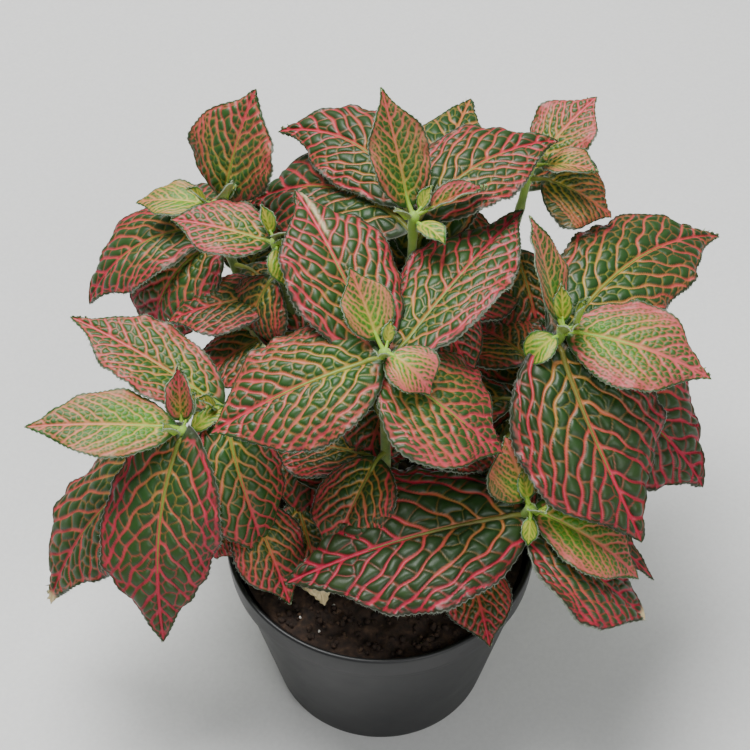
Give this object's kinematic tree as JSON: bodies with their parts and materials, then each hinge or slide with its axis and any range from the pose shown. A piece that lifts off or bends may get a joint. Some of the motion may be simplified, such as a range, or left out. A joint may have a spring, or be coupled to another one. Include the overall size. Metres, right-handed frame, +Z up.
{
  "type": "potted nerve plant",
  "caption": "Bushy nerve plant with net-veined pointed leaves on several upright shoots, growing from potting mix in a round tapered plastic pot that stands on its flat base.",
  "frame": {"origin": "centre of the pot's flat base, on the surface it stands on", "axes": "+Z up through the pot's axis; the plant's fuller, lower side faces -Y; X runs across its widest spread"},
  "size_m": [0.2234, 0.1809, 0.192],
  "materials": {
    "pot": "moulded black polypropylene, satin",
    "potting_mix": "damp peat and perlite, crumbly",
    "stem": "soft hairy green stem",
    "mature_leaf": "dark green leaf with a net of red veins, quilted, satin",
    "young_leaf": "light green young leaf with a dense net of peach-pink veins, satin"
  },
  "bodies": {
    "root": {"pot": "pot", "potting_mix": "potting_mix", "stem_centre": "stem", "stem_right": "stem", "stem_left": "stem", "stem_left_side": "stem", "stem_front": "stem", "stem_back": "stem", "stem_back_left": "stem", "stem_mid_left": "stem", "stem_back_right": "stem", "leaf_centre_young_up": "young_leaf", "leaf_centre_young_side": "young_leaf", "leaf_centre_broad_left": "mature_leaf", "leaf_centre_broad_back": "mature_leaf", "leaf_centre_high_left": "mature_leaf", "leaf_centre_broad_front": "mature_leaf", "leaf_right_bud": "young_leaf", "leaf_right_young_up": "young_leaf", "leaf_right_young_side": "young_leaf", "leaf_right_broad_side": "mature_leaf", "leaf_right_broad_down": "mature_leaf", "leaf_right_lower": "mature_leaf", "leaf_left_young": "young_leaf", "leaf_left_folded": "young_leaf", "leaf_left_front": "mature_leaf", "leaf_left_lower": "mature_leaf", "leaf_left_side_back": "mature_leaf", "leaf_left_side_front": "mature_leaf", "leaf_front_young_up": "young_leaf", "leaf_front_young_side": "young_leaf", "leaf_front_bud": "young_leaf", "leaf_front_broad_left": "mature_leaf", "leaf_front_lower": "mature_leaf", "leaf_front_small": "young_leaf", "leaf_front_behind": "mature_leaf", "leaf_back_young_up": "young_leaf", "leaf_back_folded": "young_leaf", "leaf_back_broad_left": "mature_leaf", "leaf_back_broad_right": "mature_leaf", "leaf_back_ruffled": "mature_leaf", "leaf_back_far": "mature_leaf", "leaf_back_left_upright": "mature_leaf", "leaf_back_left_small": "young_leaf", "leaf_back_left_young": "young_leaf", "leaf_back_left_low": "mature_leaf", "leaf_back_left_front": "mature_leaf", "leaf_mid_left_side": "mature_leaf", "leaf_mid_left_folded": "young_leaf", "leaf_mid_left_low": "mature_leaf", "leaf_back_right_top": "mature_leaf", "leaf_back_right_small": "young_leaf", "leaf_back_right_low": "mature_leaf", "leaf_inner_front": "mature_leaf", "leaf_inner_left": "mature_leaf", "leaf_inner_right": "mature_leaf", "leaf_inner_back": "mature_leaf", "leaf_back_rear": "mature_leaf", "leaf_back_left_rear": "mature_leaf", "leaf_back_right_rear": "mature_leaf"}
  },
  "joints": []
}
